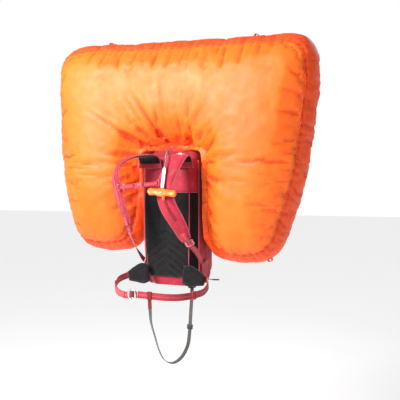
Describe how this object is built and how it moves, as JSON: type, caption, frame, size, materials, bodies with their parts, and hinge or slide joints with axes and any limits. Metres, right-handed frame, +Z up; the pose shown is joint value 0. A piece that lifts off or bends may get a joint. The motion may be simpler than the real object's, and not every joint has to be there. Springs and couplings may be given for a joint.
{
  "type": "avalanche airbag backpack",
  "caption": "Avalanche airbag backpack with its large U-shaped airbag inflated above and beside the pack, a padded harness, sternum and hip straps, a leg strap and a pull trigger.",
  "frame": {"origin": "on the flat face of the back panel that lies on the wearer's back, on the pack's centre line and near the middle of its height", "axes": "+Z up, -Y towards the wearer (out of the back panel), +X to the wearer's left"},
  "size_m": [1.1237, 0.472, 1.2492],
  "materials": {
    "crimson_nylon": "woven",
    "black_mesh": "open mesh",
    "orange_nylon": "coated ripstop",
    "pink_piping": "woven",
    "coral_webbing": "woven",
    "grey_webbing": "woven",
    "black_webbing": "woven",
    "black_plastic": "satin",
    "black_rubber": "matte",
    "amber_plastic": "satin",
    "white_fabric": "woven",
    "aluminium": "satin",
    "steel": "brushed",
    "bright_metal": "polished"
  },
  "bodies": {
    "pack": {"airbag": "orange_nylon", "airbag_loop_outer": "orange_nylon", "airbag_loop_upper": "orange_nylon", "airbag_neck": "orange_nylon", "back_panel": "black_mesh", "back_panel_top": "crimson_nylon", "frame_sheet": "black_plastic", "frame_stay": "aluminium", "gas_tube": "steel", "hip_buckle_plate": "bright_metal", "hip_webbing_left": "coral_webbing", "hip_webbing_right": "coral_webbing", "hip_wing_left": "black_mesh", "hip_wing_right": "black_mesh", "inflator_block": "aluminium", "intake_housing": "black_plastic", "leg_strap": "grey_webbing", "leg_strap_anchor": "black_webbing", "leg_strap_loop": "crimson_nylon", "leg_strap_tail": "crimson_nylon", "lever_bracket": "aluminium", "lever_pin": "steel", "neck_clamp": "steel", "pack_body": "crimson_nylon", "panel_piping_left": "pink_piping", "panel_piping_right": "pink_piping", "return_spring": "steel", "shoulder_pad_left": "crimson_nylon", "shoulder_pad_right": "crimson_nylon", "shoulder_webbing_left": "coral_webbing", "shoulder_webbing_right": "coral_webbing", "side_buckle_left": "black_plastic", "side_buckle_right": "black_plastic", "side_strap_left": "crimson_nylon", "side_strap_right": "crimson_nylon", "sternum_buckle": "black_plastic", "sternum_clip_left": "black_plastic", "sternum_clip_right": "pink_piping", "sternum_tongue": "black_plastic", "sternum_webbing_left": "coral_webbing", "sternum_webbing_right": "coral_webbing", "strap_tab_left": "crimson_nylon", "strap_tab_right": "crimson_nylon", "tool_loop": "black_webbing", "trigger_cable_housing": "black_plastic", "trigger_sleeve": "white_fabric", "zip_tape": "black_webbing"},
    "trigger": {"trigger_handle": "amber_plastic", "trigger_cable": "steel"},
    "lever": {"trigger_lever": "steel"},
    "pin": {"piercing_pin": "steel"},
    "valve": {"valve_flap": "black_rubber"},
    "ladder_right": {"ladder_lock_right": "black_plastic"},
    "ladder_left": {"ladder_lock_left": "black_plastic"},
    "sternum_slide": {"sternum_adjuster": "black_plastic"},
    "hip_ring": {"hip_buckle_frame": "bright_metal"},
    "zip": {"zip_slider": "black_plastic", "zip_pull": "pink_piping"},
    "leg_adjuster": {"leg_strap_adjuster": "black_plastic"},
    "cylinder": {"gas_cylinder": "steel"}
  },
  "joints": [
    {"name": "trigger_pull", "type": "slide", "parent": "pack", "child": "trigger", "axis": [0.0984, -0.3783, -0.9204], "range_m": [0, 0.05]},
    {"name": "lever_turn", "type": "hinge", "parent": "pack", "child": "lever", "pos_m": [-0.045, 0.068, 0.214], "axis": [-1, 0, 0], "range_deg": [0, 17.5]},
    {"name": "pin_drive", "type": "slide", "parent": "pack", "child": "pin", "axis": [0, 0, -1], "range_m": [0, 0.0057]},
    {"name": "valve_swing", "type": "hinge", "parent": "pack", "child": "valve", "pos_m": [0.03, 0.1118, 0.2071], "axis": [-1, 0, 0], "range_deg": [0, 25]},
    {"name": "ladder_right_tilt", "type": "hinge", "parent": "pack", "child": "ladder_right", "pos_m": [-0.1078, -0.1004, -0.0187], "axis": [-0.9373, 0.3399, 0.0767], "range_deg": [0, 40]},
    {"name": "ladder_left_tilt", "type": "hinge", "parent": "pack", "child": "ladder_left", "pos_m": [0.1371, -0.0761, -0.0693], "axis": [-0.9075, -0.1603, -0.3884], "range_deg": [0, 40]},
    {"name": "sternum_length", "type": "slide", "parent": "pack", "child": "sternum_slide", "axis": [0.9866, 0.1291, 0.0993], "range_m": [0, 0.025]},
    {"name": "hip_ring_swing", "type": "hinge", "parent": "pack", "child": "hip_ring", "pos_m": [-0.0234, -0.2322, -0.2525], "axis": [0, 0, -1], "range_deg": [0, 70]},
    {"name": "zip_travel", "type": "slide", "parent": "pack", "child": "zip", "axis": [0, 0, -1], "range_m": [0, 0.125]},
    {"name": "leg_strap_length", "type": "slide", "parent": "pack", "child": "leg_adjuster", "axis": [0.0133, 0.1061, 0.9943], "range_m": [0, 0.03]},
    {"name": "cylinder_unscrew", "type": "hinge", "parent": "pack", "child": "cylinder", "pos_m": [-0.045, 0.085, 0.05], "axis": [0, 0, 1], "continuous": true}
  ],
  "couplings": [
    {"joint": "lever_turn", "follows": "trigger_pull", "rad_per_m": 6},
    {"joint": "pin_drive", "follows": "trigger_pull", "ratio": 0.112}
  ]
}
